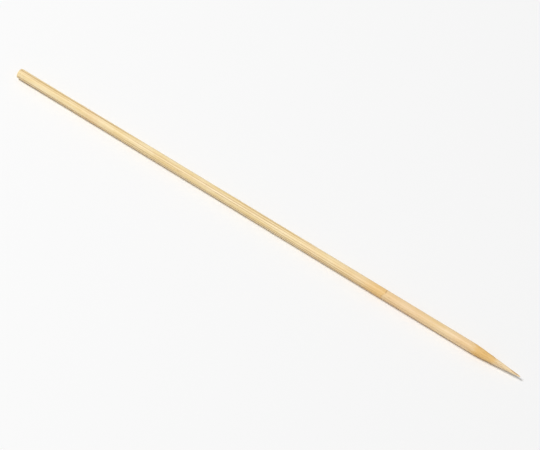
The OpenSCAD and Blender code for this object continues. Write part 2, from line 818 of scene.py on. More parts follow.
@dataclass(frozen=True)
class Drawing:
    """Marks that the die leaves along the stick.

    Attributes:
        bare_depth: how far the soft tissue between strands is drawn below them.
        bare: distances from a strand's middle where that starts and is whole, in strand radii.
        bare_worn: how much deeper grinding wears that tissue, as a share.
        ridges: how many waves make up the fine lengthwise ridges.
        ridge_counts: least and most ridges round the stick in one such wave.
        ridge_drift: least and greatest shift of a wave round the stick, in radians of its phase.
        ridge_length: least and greatest length over which a wave shifts and fades.
        ridge_fade: how much a wave's height changes along the stick, as a share.
        ridge_depth: depth of the ridges.
        ridges_lost: share of that depth that grinding takes off.
        oval_waves: how the section is out of round.
        oval_depth: how far it is.
        oval_twist: how fast that turns along the stick, in radians for each millimetre.
        tears: how many shallow tears there are.
        tear_places: least and greatest place at which a tear starts.
        tear_length: its least and greatest length.
        tear_width: its least and greatest half width.
        tear_depth: its least and greatest depth.
        tear_start: share of its length over which it reaches its depth.
        tear_narrowing: share of its width that it loses on the way.
        seed: of the draws.
    """

    bare_depth: float = 0.016
    bare: Pair = (0.7, 1.3)
    bare_worn: float = 1.0
    ridges: int = 16
    ridge_counts: tuple[int, int] = (18, 55)
    ridge_drift: Pair = (0.4, 1.6)
    ridge_length: Pair = (28.0, 88.0)
    ridge_fade: float = 0.4
    ridge_depth: float = 0.014
    ridges_lost: float = 0.5
    oval_waves: Waves = ((0.3, 2, 0.7), (0.2, 3, 0.0))
    oval_depth: float = 0.018
    oval_twist: float = 0.009
    tears: int = 16
    tear_places: Pair = (4.0, 150.0)
    tear_length: Pair = (2.5, 9.0)
    tear_width: Pair = (0.08, 0.2)
    tear_depth: Pair = (0.015, 0.045)
    tear_start: float = 0.08
    tear_narrowing: float = 0.6
    seed: int = 11

    def ridged(self, grid: Grid) -> Array:
        """Fine lengthwise ridges: a sum of waves round the stick that slowly shift and fade along it.

        Args:
            grid: the stick's points.

        Returns:
            The share of their depth at each point, from 0 to 1.
        """
        draws = np.random.default_rng(self.seed)
        total = np.zeros(grid.along.shape)
        for count in draws.integers(*self.ridge_counts, self.ridges, endpoint=True):
            phase, fade_phase = draws.uniform(0, FULL_TURN, 2)
            drift = draws.uniform(*self.ridge_drift)
            shift_length, fade_length = draws.uniform(*self.ridge_length, 2)
            shift = drift * np.sin(FULL_TURN * grid.along / shift_length + phase)
            fading = self.ridge_fade * np.sin(FULL_TURN * grid.along / fade_length + fade_phase)
            total += (1 - self.ridge_fade + fading) * np.sin(count * grid.turn + phase + shift)
        usual_size = math.sqrt(self.ridges) / 2  # about the root mean square of such a sum
        return 0.5 + 0.5 * np.tanh(total / usual_size)

    def torn(self, grid: Grid, radius: float) -> Array:
        """Shallow tears where the die lifted a few fibres: each starts sharply and runs out along the grain.

        A tear is a bell across the grain, which narrows as it runs, times a quick rise and a slow fall along
        the grain.

        Args:
            grid: the stick's points.
            radius: radius of the drawn shaft.

        Returns:
            The depth at each point.
        """
        draws = np.random.default_rng(self.seed + 1)
        total = np.zeros(grid.along.shape)
        for _ in range(self.tears):
            start, length = draws.uniform(*self.tear_places), draws.uniform(*self.tear_length)
            middle, width = draws.uniform(0, FULL_TURN), draws.uniform(*self.tear_width)
            side = radius * (np.mod(grid.turn - middle + math.pi, FULL_TURN) - math.pi)
            run = (grid.along - start) / length
            narrowed = width * (1 - self.tear_narrowing * np.clip(run, 0, 1))
            shape = rise(run, 0, self.tear_start) * rise(run, 1, self.tear_start) * bell(side, narrowed)
            total = np.maximum(total, draws.uniform(*self.tear_depth) * shape)
        return total

    def depth(self, grid: Grid, reach: Array, ground: Array, radius: float) -> Array:
        """Depth of all the die's marks: sunk tissue, ridges, the oval section and tears.

        Grinding wears the tissue between strands further down, and takes some of the ridges and all the tears
        off.

        Args:
            grid: the stick's points.
            reach: distance to the nearest strand's middle, in strand radii.
            ground: share of the drawn skin that grinding has taken off.
            radius: radius of the drawn shaft.

        Returns:
            The depth at each point.
        """
        sunk = self.bare_depth * rise(reach, *self.bare) * (1 + self.bare_worn * ground)
        ridges = self.ridge_depth * self.ridged(grid) * (1 - self.ridges_lost * ground)
        oval = self.oval_depth * (0.5 + ripple(grid.turn + self.oval_twist * grid.along, self.oval_waves))
        return sunk + ridges + oval + self.torn(grid, radius) * (1 - ground)


@dataclass(frozen=True)
class Grinding:
    """Marks that the belt leaves on the point.

    Attributes:
        lag: how far past the shaft's end the belt has taken the drawn skin off.
        waves: how that border wanders round the stick.
        border: half its width.
        singe: how far past the shaft's end the belt's heat has turned the wood amber, and where that ends.
        singe_fade: half the length over which the amber comes and goes.
        singe_waves: how it wanders round the stick.
        flats: flats that the belt grinds into the point.
        flat_depth: their depth.
        nose_length: length of the nose that the belt dents.
        nose_waves: shape of the dents.
        nose_twist: how fast they turn along the nose, in radians for each millimetre.
        nose_depth: their depth.
    """

    lag: float = 1.6
    waves: Waves = ((0.55, 1, 1.0), (0.28, 3, 0.4), (0.16, 11, 0.0), (0.08, 29, 2.0))
    border: float = 0.35
    singe: Pair = (1.6, 9.0)
    singe_fade: float = 1.9
    singe_waves: Waves = ((0.6, 2, 0.5), (0.3, 7, 0.0))
    flats: int = 9
    flat_depth: float = 0.012
    nose_length: float = 1.2
    nose_waves: Waves = ((0.3, 2, 2.0), (0.2, 5, 0.0))
    nose_twist: float = 3.0
    nose_depth: float = 0.035

    def share(self, grid: Grid, shaft_end: float) -> Array:
        """How far the belt has taken the drawn skin off: 0 on the shaft and 1 on the point.

        Args:
            grid: the stick's points.
            shaft_end: where the straight shaft ends.

        Returns:
            The share at each point: a step with a wavy border.
        """
        middle = shaft_end + self.lag + ripple(grid.turn, self.waves)
        return rise(grid.along, middle - self.border, middle + self.border)

    def amber(self, grid: Grid, shaft_end: float) -> Array:
        """Amber of the scorched wood at the point's root: a rise times a fall, with wavy edges.

        Args:
            grid: the stick's points.
            shaft_end: where the straight shaft ends.

        Returns:
            The strength at each point, from 0 to 1.
        """
        place = grid.along - shaft_end + ripple(grid.turn, self.singe_waves)
        start, end = self.singe
        comes = rise(place, start - self.singe_fade, start + self.singe_fade)
        return comes * rise(place, end + self.singe_fade, end - self.singe_fade)

    def flat(self, grid: Grid, ground: Array) -> Array:
        """Depth of the belt's flats, as the size of a sine wave round the point.

        Args:
            grid: the stick's points.
            ground: share of the drawn skin that grinding has taken off.

        Returns:
            The depth at each point.
        """
        return self.flat_depth * np.abs(np.sin(self.flats * grid.turn / 2)) * ground

    def dent(self, grid: Grid, tip: float) -> Array:
        """Depth of the dents on the nose, which grow towards the tip.

        Args:
            grid: the stick's points.
            tip: where the stick ends.

        Returns:
            The depth at each point.
        """
        shape = 0.5 + ripple(grid.turn + self.nose_twist * grid.along, self.nose_waves)
        return self.nose_depth * shape * rise(grid.along, tip - self.nose_length, tip)


@dataclass(frozen=True)
class Sawing:
    """Marks that the saw leaves on the butt.

    Attributes:
        entry_turn: direction that the saw came in from, in degrees. Its straight marks lie square to it.
        kerf_pitch: distance between the marks.
        kerf_waves: their section.
        kerf_depth: their depth, and how far the tissue between strands is sunk.
        bare: distances from a strand's middle where that starts and is whole, in strand radii.
        vessel_depth: depth of an open vessel.
        exit_share: cosine of the angle to the side where the saw came out, where its chips start and where
            they are whole.
        exit_depth: depth of the chips on that side.
        chip_depth: depth of the chips elsewhere round the edge.
        chip_waves: their shape.
        chip_reach: how far they reach along the side and inwards, as shares of the edge's radius.
    """

    entry_turn: float = 70.0
    kerf_pitch: float = 0.34
    kerf_waves: Waves = ((0.3, 1, 0.0), (0.2, 2.3, 1.0))
    kerf_depth: float = 0.012
    bare: Pair = (0.8, 1.3)
    vessel_depth: float = 0.025
    exit_share: Pair = (0.35, 0.95)
    exit_depth: float = 0.11
    chip_depth: float = 0.012
    chip_waves: Waves = ((0.25, 17, 0.0), (0.15, 31, 1.3), (0.1, 47, 0.4))
    chip_reach: Pair = (1.2, 1.5)

    def depth(self, grid: Grid, reach: Array, vessel: Array) -> Array:
        """Depth of the marks on the sawn face: straight kerf lines, sunk soft tissue and open vessels.

        Args:
            grid: the stick's points.
            reach: distance to the nearest strand's middle, in strand radii.
            vessel: how deep each point lies in an open vessel, from 0 to 1.

        Returns:
            The depth at each point.
        """
        kerf = 0.5 + ripple(FULL_TURN * grid.towards(self.entry_turn) / self.kerf_pitch, self.kerf_waves)
        return self.kerf_depth * (kerf + rise(reach, *self.bare)) + self.vessel_depth * vessel

    def chipped(self, grid: Grid, outline: Outline) -> Array:
        """How far the rim has chipped away along the stick: ragged all round, most where the saw came out.

        Args:
            grid: the stick's points.
            outline: the solid's section.

        Returns:
            The depth at each point, which fades along the side and inwards on the face.
        """
        along_reach, inward_reach = (share * outline.edge for share in self.chip_reach)
        rim = bell(grid.along, along_reach)
        rim = rim * rise(grid.radius, outline.face_radius - inward_reach, outline.stick_radius)
        exit_side = rise(-np.cos(grid.turn - math.radians(self.entry_turn)), *self.exit_share)
        ragged = 0.5 + ripple(grid.turn, self.chip_waves)
        return rim * (self.exit_depth * exit_side * ragged**2 + self.chip_depth * ragged)


@dataclass(frozen=True)
class MapPlan:
    """Layout of the stick's surface map, in shares of the map's side.

    The shaft is cut into rows one above the other, so that a square map holds it with little stretch. The
    last row holds the point, and beside it the sawn face as a disc.

    Attributes:
        name: the map's name.
        shaft_rows: rows that the shaft is cut into.
        margin: free border round each row.
        point_share: share of the last row's width that the point takes.
    """

    name: str = "OFBake"
    shaft_rows: int = 3
    margin: float = 0.012
    point_share: float = 0.72

    def corners(
        self, travels: Iterable[float | Array], turn_shares: Iterable[float | Array], limits: Triple
    ) -> Array:
        """Places the corners of faces on the map.

        Args:
            travels: for each corner of a face, distance along the outline from the middle of the sawn face.
            turn_shares: for each corner, share of a full turn. All these arrays broadcast together.
            limits: travel at the end of the sawn face, at the end of the shaft and at the tip.

        Returns:
            A row of u and v for every corner, face by face.
        """
        columns = np.stack(np.broadcast_arrays(*travels, *turn_shares), -1)
        travel, turn_share = np.split(columns.reshape(-1, columns.shape[-1]), 2, axis=1)
        face_end, shaft_end, tip = limits
        middle = travel.mean(1, keepdims=True)
        on_point, on_face = middle > shaft_end, middle < face_end
        height = 1 / (self.shaft_rows + 1)

        # The side: u runs along the stick, row by row, and v round it
        row_length = (shaft_end - face_end) / self.shaft_rows
        row = np.clip(np.floor((middle - face_end) / row_length), 0, self.shaft_rows - 1)
        shaft_u = (travel - face_end - row * row_length) / row_length
        point_u = self.point_share * (travel - shaft_end) / (tip - shaft_end)
        u = self.margin + (1 - 2 * self.margin) * np.where(on_point, point_u, shaft_u)
        row = np.where(on_point, self.shaft_rows, row)
        v = height * row + self.margin + (height - 2 * self.margin) * turn_share

        # The sawn face: a disc in the corner that the point leaves free
        centre, disc = 1 - height / 2, (height / 2 - self.margin) * travel / face_end
        u = np.where(on_face, centre + disc * np.cos(FULL_TURN * turn_share), u)
        v = np.where(on_face, centre + disc * np.sin(FULL_TURN * turn_share), v)
        return np.stack([u, v], -1).reshape(-1, 2)


@dataclass(frozen=True)
class Grain:
    """Noise whose blots have a real size.

    Attributes:
        size: size of a blot along X, Y and Z.
        detail: octaves of finer noise in it.
        roughness: height of each octave, as a share of the one before.
    """

    size: Triple
    detail: float = 2.0
    roughness: float = 0.6

    def draw(self, tree: bpy.types.NodeTree, turn: float = 0.0) -> bpy.types.Node:
        """Draws the noise on the object's own coordinates, divided by the size of a blot.

        Args:
            tree: the material's tree.
            turn: how far the blots are turned about the stick's axis, in degrees.

        Returns:
            The noise, mostly between 0.3 and 0.7.
        """
        place = add_node(tree, "ShaderNodeTexCoord").outputs["Object"]
        turned = {"Vector": place, "Rotation": (math.radians(turn), 0.0, 0.0)}
        turned["Scale"] = [side * METRES for side in self.size]
        sized = add_node(tree, "ShaderNodeMapping", turned, vector_type="TEXTURE")
        octaves = {"Vector": sized, "Scale": 1.0, "Detail": self.detail, "Roughness": self.roughness}
        return add_node(tree, "ShaderNodeTexNoise", octaves)


@dataclass(frozen=True)
class Layer:
    """A colour that shows where a pattern is strong.

    Attributes:
        colour: the colour.
        start: value of the pattern where the colour starts to show.
        end: value where it shows most.
        most: how much of it shows there.
    """

    colour: str
    start: float = 0.0
    end: float = 1.0
    most: float = 1.0

    def lay(self, tree: bpy.types.NodeTree, under: Feed, pattern: Feed) -> bpy.types.Node:
        """Lays the colour over what is below it, by a smooth step of the pattern.

        Args:
            tree: the material's tree.
            under: what is below: a node or a linear colour.
            pattern: the pattern.

        Returns:
            The new colour.
        """
        step = {"Value": pattern, "From Min": self.start, "From Max": self.end, "To Max": self.most}
        share = add_node(tree, "ShaderNodeMapRange", step, interpolation_type="SMOOTHSTEP")
        mixed = {"Factor": share, "A": under, "B": linear(self.colour)}
        return add_node(tree, "ShaderNodeMix", mixed, data_type="RGBA")


def layered(tree: bpy.types.NodeTree, base: str, layers: Iterable[tuple[Layer, Feed]]) -> Feed:
    """Lays colours over each other.

    Args:
        tree: the material's tree.
        base: the lowest colour.
        layers: each colour above it, and the pattern that it shows by.

    Returns:
        The colour that they make together.
    """
    colour: Feed = linear(base)
    for layer, pattern in layers:
        colour = layer.lay(tree, colour, pattern)
    return colour


class Finish(ABC):
    """A finish of the bamboo, named for how its surface was made.

    Attributes:
        name: the material's name.
    """

    name: str

    @abstractmethod
    def inputs(self, tree: bpy.types.NodeTree) -> dict[str | int, Feed]:
        """Draws the finish's patterns.

        Args:
            tree: the material's tree.

        Returns:
            What the shader's inputs get, by their name.
        """

    def build(self) -> bpy.types.Material:
        """Makes the material: one shader, fed by the finish's patterns.

        Returns:
            The material.
        """
        material, tree = empty_material(self.name)
        shader = add_node(tree, "ShaderNodeBsdfPrincipled", self.inputs(tree))
        add_node(tree, "ShaderNodeOutputMaterial", {"Surface": shader})
        return material


@dataclass(frozen=True)
class DrawnBamboo(Finish):
    """Bamboo drawn through a die and dried without a coat, and ground at the point.

    The die leaves straw-coloured wood with a silky, dull shine, broken by tan strands that shine a little
    more. The point is freshly cut wood, paler and matt, with fine scratches across the grain, and amber at
    its root.

    Attributes:
        bundle: shape of a strand.
        name: the material's name.
        straw: colour of the wood.
        streaks: broad streaks along the grain.
        deep_straw: their colour.
        blotches: soft patches.
        pale_straw: their colour.
        fibres: the fibres, which also stand up. Real ones are 0.02 mm thick, too fine to show, so they are
            drawn four times as coarse.
        dark_fibre: their colour.
        flecks: short dark cells.
        tan_fleck: their colour.
        fresh: what the belt has laid bare.
        fray: how far fibres fray the edges of a strand.
        faintest: how strongly the palest strand shows.
        sheath: colour of every strand.
        dark_sheath: what darker strands add to it.
        vessel: painted shade in the groove where a vessel is cut lengthwise.
        pink: the slightly pink stretches.
        gold: the stain before the knot, and the amber at the root of the point.
        knot: the knot's line.
        ior: typical of wood.
        roughness: of the drawn skin.
        sheath_roughness: of its strands.
        ground_roughness: of the point.
        fibre_depth: height of the fibres.
        scratches: the belt's scratches, drawn a little coarser than the 0.05 mm grit leaves them.
        scratch_depth: their depth.
    """

    bundle: Bundle
    name: str = "drawn_bamboo"
    straw: str = "#F6E0AF"
    streaks: Grain = Grain((45, 0.5, 0.5), 3.0)
    deep_straw: Layer = Layer("#E6CA8D", 0.38, 0.64)
    blotches: Grain = Grain((8, 3, 3))
    pale_straw: Layer = Layer("#FAEBC7", 0.35, 0.7, 0.45)
    fibres: Grain = Grain((12, 0.08, 0.08), 4.0)
    dark_fibre: Layer = Layer("#E6C98C", 0.5, 0.62, 0.75)
    flecks: Grain = Grain((1.6, 0.1, 0.1))
    tan_fleck: Layer = Layer("#CDA468", 0.62, 0.74, 0.5)
    fresh: Layer = Layer("#F9E8C2", most=0.6)
    fray: float = 0.9
    faintest: float = 0.4
    sheath: Layer = Layer("#CDA468", most=0.7)
    dark_sheath: Layer = Layer("#A87C45", 0.0, 0.6, 0.8)
    # Painted shade: this dark colour stands for the shade inside the open vessels
    vessel: Layer = Layer("#80603A", most=0.55)
    pink: Layer = Layer("#E3B585", most=0.45)
    gold: Layer = Layer("#E1AE50", most=0.66)
    knot: Layer = Layer("#A0703A", most=0.6)
    ior: float = 1.53
    roughness: float = 0.54
    sheath_roughness: float = 0.42
    ground_roughness: float = 0.72
    fibre_depth: float = 0.016
    scratches: Grain = Grain((0.08, 1.2, 1.2))
    scratch_depth: float = 0.012

    def inputs(self, tree: bpy.types.NodeTree) -> dict[str | int, Feed]:
        """Lays the colours over each other, with the fibres and scratches as bumps.

        It reads the strands, the ground share, the tints and the knot's line from the piece.

        Args:
            tree: the material's tree.

        Returns:
            What the shader's inputs get.
        """
        ground, blush, stain, knot = (
            add_node(tree, "ShaderNodeAttribute", attribute_name=value.value).outputs["Fac"]
            for value in (Carried.GROUND, Carried.BLUSH, Carried.STAIN, Carried.KNOT)
        )
        fibres = self.fibres.draw(tree)
        sheath, vessel, tone = self.bundle.draw(tree, fibres, self.fray)
        strong = {0: tone, 1: 1 - self.faintest, 2: self.faintest}
        strong = add_node(tree, "ShaderNodeMath", strong, operation="MULTIPLY_ADD")
        strand = add_node(tree, "ShaderNodeMath", {0: sheath, 1: strong}, operation="MULTIPLY")
        dark = add_node(tree, "ShaderNodeMath", {0: tone, 1: fibres}, operation="MULTIPLY")
        dark_strand = add_node(tree, "ShaderNodeMath", {0: sheath, 1: dark}, operation="MULTIPLY")
        layers = (
            (self.deep_straw, self.streaks.draw(tree)),
            (self.pale_straw, self.blotches.draw(tree)),
            (self.dark_fibre, fibres),
            (self.tan_fleck, self.flecks.draw(tree)),
            (self.fresh, ground),
            (self.sheath, strand),
            (self.dark_sheath, dark_strand),
            # Painted shade in the open vessels
            (self.vessel, vessel),
            (self.pink, blush),
            (self.gold, stain),
            (self.knot, knot),
        )
        drawn = {"Factor": sheath, "A": self.roughness, "B": self.sheath_roughness}
        shine = add_node(tree, "ShaderNodeMix", drawn)
        shine = add_node(tree, "ShaderNodeMix", {"Factor": ground, "A": shine, "B": self.ground_roughness})
        skin = add_node(tree, "ShaderNodeBump", {"Height": fibres, "Distance": self.fibre_depth * METRES})
        scratched = {"Height": self.scratches.draw(tree), "Distance": self.scratch_depth * METRES}
        cut = add_node(tree, "ShaderNodeBump", {**scratched, "Strength": ground, "Normal": skin})
        colour = layered(tree, self.straw, layers)
        return {"Base Color": colour, "Roughness": shine, "Normal": cut, "IOR": self.ior}


@dataclass(frozen=True)
class SawnBamboo(Finish):
    """End grain of the same bamboo, cut by a fine saw: matt, a little darker, with a dot for every strand.

    Each dot is a brown sheath of fibre round open ducts, in a tissue of round cells. The saw leaves fine
    scratches across the face.

    Attributes:
        bundle: shape of a strand.
        entry_turn: direction that the saw came in from, in degrees.
        name: the material's name.
        tissue: colour of the cells.
        mottling: soft patches.
        worn: their colour.
        cells: the tissue's cells. Real ones are 0.05 mm wide, and are drawn a little larger so that they
            show.
        cell_wall: colour of their walls.
        fray: how far the cells fray the edges of a strand.
        sheath: colour of every strand.
        dark_sheath: what darker strands add to it.
        vessel: painted shade in the open vessels and ducts.
        ior: typical of wood.
        roughness: of the sawn face.
        cell_depth: depth of the cells.
        scratches: the saw's fine scratches, 0.05 mm wide, which run with its straight marks.
        scratch_depth: their depth.
    """

    bundle: Bundle
    entry_turn: float
    name: str = "sawn_bamboo"
    tissue: str = "#EDD6A5"
    mottling: Grain = Grain((0.3, 0.3, 0.3))
    worn: Layer = Layer("#D6B67C", 0.4, 0.7, 0.5)
    cells: Grain = Grain((0.07, 0.07, 0.07), 1.0)
    cell_wall: Layer = Layer("#D6B67C", 0.48, 0.62, 0.6)
    fray: float = 0.6
    sheath: Layer = Layer("#B88D55", most=0.85)
    dark_sheath: Layer = Layer("#976E3C", most=0.85)
    # Painted shade: this dark colour stands for the shade inside the open vessels and ducts
    vessel: Layer = Layer("#57401F", most=0.9)
    ior: float = 1.53
    roughness: float = 0.85
    cell_depth: float = 0.015
    scratches: Grain = Grain((0.5, 0.05, 1.4))
    scratch_depth: float = 0.017

    def inputs(self, tree: bpy.types.NodeTree) -> dict[str | int, Feed]:
        """Lays the colours over each other, with the cells and scratches as bumps.

        It reads the strands from the piece.

        Args:
            tree: the material's tree.

        Returns:
            What the shader's inputs get.
        """
        cells = self.cells.draw(tree)
        sheath, vessel, tone = self.bundle.draw(tree, cells, self.fray)
        dark = add_node(tree, "ShaderNodeMath", {0: sheath, 1: tone}, operation="MULTIPLY")
        layers = (
            (self.worn, self.mottling.draw(tree)),
            (self.cell_wall, cells),
            (self.sheath, sheath),
            (self.dark_sheath, dark),
            # Painted shade in the open vessels and ducts
            (self.vessel, vessel),
        )
        scratches = self.scratches.draw(tree, self.entry_turn)
        scratched = {"Height": scratches, "Distance": self.scratch_depth * METRES}
        scratched = add_node(tree, "ShaderNodeBump", scratched)
        rough = {"Height": cells, "Distance": self.cell_depth * METRES, "Normal": scratched}
        cut = add_node(tree, "ShaderNodeBump", rough)
        colour = layered(tree, self.tissue, layers)
        return {"Base Color": colour, "Roughness": self.roughness, "Normal": cut, "IOR": self.ior}


@dataclass(frozen=True)
class TornFibre(Finish):
    """Single fibres that stand up from the bamboo: pale, dry and matt, with darker lengths.

    Attributes:
        name: the material's name.
        pale: colour of a fibre.
        lengths: darker lengths of a fibre.
        tan: their colour.
        roughness: of a dry fibre.
    """

    name: str = "torn_fibre"
    pale: str = "#F6E6C0"
    lengths: Grain = Grain((1.5, 0.3, 0.3), 1.0)
    tan: Layer = Layer("#D9B67A", 0.4, 0.65)
    roughness: float = 0.7

    def inputs(self, tree: bpy.types.NodeTree) -> dict[str | int, Feed]:
        """Lays the darker lengths over the pale fibre.

        Args:
            tree: the material's tree.

        Returns:
            What the shader's inputs get.
        """
        colour = layered(tree, self.pale, [(self.tan, self.lengths.draw(tree))])
        return {"Base Color": colour, "Roughness": self.roughness}


@dataclass(frozen=True)
class Stick:
    """The skewer itself, as one closed surface.

    Attributes:
        outline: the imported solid's section.
        spacing: how closely the surface's rings follow each other.
        strands: the strands of fibre that run through it.
        growth: what had grown before the bamboo was cut.
        drawing: the die's marks.
        grinding: the belt's marks.
        sawing: the saw's marks.
        layout: where the surface lies on its map.
        side_facing: how far the outline's normal points sideways where the marks of the side start to
            take over from those of the butt, and where they are whole.
    """

    outline: Outline
    spacing: Spacing = Spacing()
    strands: Strands = Strands()
    growth: Growth = Growth()
    drawing: Drawing = Drawing()
    grinding: Grinding = Grinding()
    sawing: Sawing = Sawing()
    layout: MapPlan = MapPlan()
    side_facing: Pair = (0.2, 0.9)

    def side_depth(self, grid: Grid, reach: Array, ground: Array, knot: Array) -> Array:
        """Depth of the marks on the side, which shrink with the radius to the tip, and of the nose's dents.

        Args:
            grid: the stick's points.
            reach: distance to the nearest strand's middle, in strand radii.
            ground: share of the drawn skin that grinding has taken off.
            knot: strength of the knot's line.

        Returns:
            The depth at each point.
        """
        radius = self.outline.stick_radius
        marks = self.drawing.depth(grid, reach, ground, radius) + self.grinding.flat(grid, ground)
        marks = marks + self.growth.knot_depth * knot
        shrunk = marks * self.outline.radius_at(grid.along) / radius
        return shrunk + self.grinding.dent(grid, self.outline.length)

    def surface(self, rings: Rings) -> tuple[Array, dict[Carried, Array]]:
        """Works out the surface's points on a grid of rings by turns.

        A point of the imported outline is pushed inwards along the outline's normal by the depth of the marks
        there, and chips push the rim along the stick.

        Args:
            rings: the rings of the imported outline.

        Returns:
            The points, indexed by ring, turn and axis, and the values that they carry.
        """
        outline, grid = self.outline, Grid.on_rings(rings)
        shaft_end = outline.shaft[1]
        strand, reach = self.strands.read(grid, outline.length, self.growth.knot_at)
        ground = self.grinding.share(grid, shaft_end)
        knot = self.growth.knot(grid)
        face_depth = self.sawing.depth(grid, reach, self.strands.bundle.open_vessel(strand))

        out_along, out_radius = rings.outwards
        sideways = rise(out_radius, *self.side_facing)
        on_butt = (1 - sideways) * (grid.along < outline.length / 2)
        depth = sideways * self.side_depth(grid, reach, ground, knot) + on_butt * face_depth
        new_along = grid.along - depth * out_along + self.sawing.chipped(grid, outline)
        points = outline.in_frame(new_along, grid.radius - depth * out_radius, grid.turn)
        return points, {
            Carried.STRAND: strand,
            Carried.REACH: reach,
            Carried.GROUND: ground,
            Carried.STAIN: self.growth.stain(grid) + self.grinding.amber(grid, shaft_end),
            Carried.BLUSH: self.growth.blush(grid),
            Carried.KNOT: knot,
        }

    def build(self) -> bpy.types.Object:
        """Makes the piece: rings joined by quads, and a fan of triangles to a single point at each end.

        Returns:
            The stick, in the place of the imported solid.
        """
        rings = Rings.spread(self.outline, self.spacing, self.growth.knot_at)
        points, carried = self.surface(rings)
        butt_pole = rings.total * rings.around
        tip_pole = butt_pole + 1
        last_ring = butt_pole - rings.around
        here = np.arange(rings.around)
        there = np.roll(here, -1)
        butt_fan = np.stack([np.full(rings.around, butt_pole), there, here], -1)
        tip_fan = np.stack([last_ring + here, last_ring + there, np.full(rings.around, tip_pole)], -1)
        poles = [points[0].mean(0), self.outline.in_frame(self.outline.length, 0.0, 0.0)]
        all_points = np.concatenate([points.reshape(-1, 3), poles])
        faces = [ring_faces(rings.total, rings.around), butt_fan, tip_fan]
        stick = add_piece("skewer_stick", all_points, faces)
        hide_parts(CAD_NODE)
        for value, grid in carried.items():
            carry(stick.data, value, grid)
        self.lay_out(stick.data, rings)
        self.dress(stick.data, rings)
        stick.data.validate()
        return stick

    def lay_out(self, mesh: bpy.types.Mesh, rings: Rings) -> None:
        """Lays every face on the map, in the order of the faces.

        Args:
            mesh: the stick's mesh.
            rings: its rings.
        """
        travel = rings.travel
        side = slice(rings.on_face - 1, None)
        shaft_end = float(np.interp(self.outline.shaft[1], rings.along[side], travel[side]))
        tip = float(travel[-1] + self.outline.length - rings.along[-1])
        limits = (self.outline.face_radius, shaft_end, tip)
        near, far = travel[:-1, None], travel[1:, None]
        first, last = travel[0], travel[-1]
        here = np.arange(rings.around) / rings.around
        there = here + 1 / rings.around
        quads = self.layout.corners((near, near, far, far), (here, there, there, here), limits)
        butt = self.layout.corners((0.0, first, first), (here, there, here), limits)
        point = self.layout.corners((last, last, tip), (here, there, here), limits)
        flat = np.concatenate([quads, butt, point]).astype(np.float32).ravel()
        mesh.uv_layers.new(name=self.layout.name).uv.foreach_set("vector", flat)

    def dress(self, mesh: bpy.types.Mesh, rings: Rings) -> None:
        """Gives the sawn face and the side their own finishes.

        Args:
            mesh: the stick's mesh.
            rings: its rings.
        """
        bundle = self.strands.bundle
        finishes = {Zone.SIDE: DrawnBamboo(bundle), Zone.SAWN: SawnBamboo(bundle, self.sawing.entry_turn)}
        for zone in Zone:
            mesh.materials.append(finishes[zone].build())
        ring = np.repeat(np.arange(rings.total - 1), rings.around)
        quads = np.where(ring < rings.on_face, Zone.SAWN.value, Zone.SIDE.value)
        fans = np.repeat([Zone.SAWN.value, Zone.SIDE.value], rings.around)
        slots = np.concatenate([quads, fans]).astype(np.int32)
        mesh.polygons.foreach_set("material_index", slots)


@dataclass(frozen=True)
class Fibre:
    """One loose fibre.

    Attributes:
        root: place of its root along the stick.
        turn: angle of its root, in degrees.
        length: its length, below 0 where it points to the butt.
        lift: how far its end stands off the wood.
    """

    root: float
    turn: float
    length: float
    lift: float


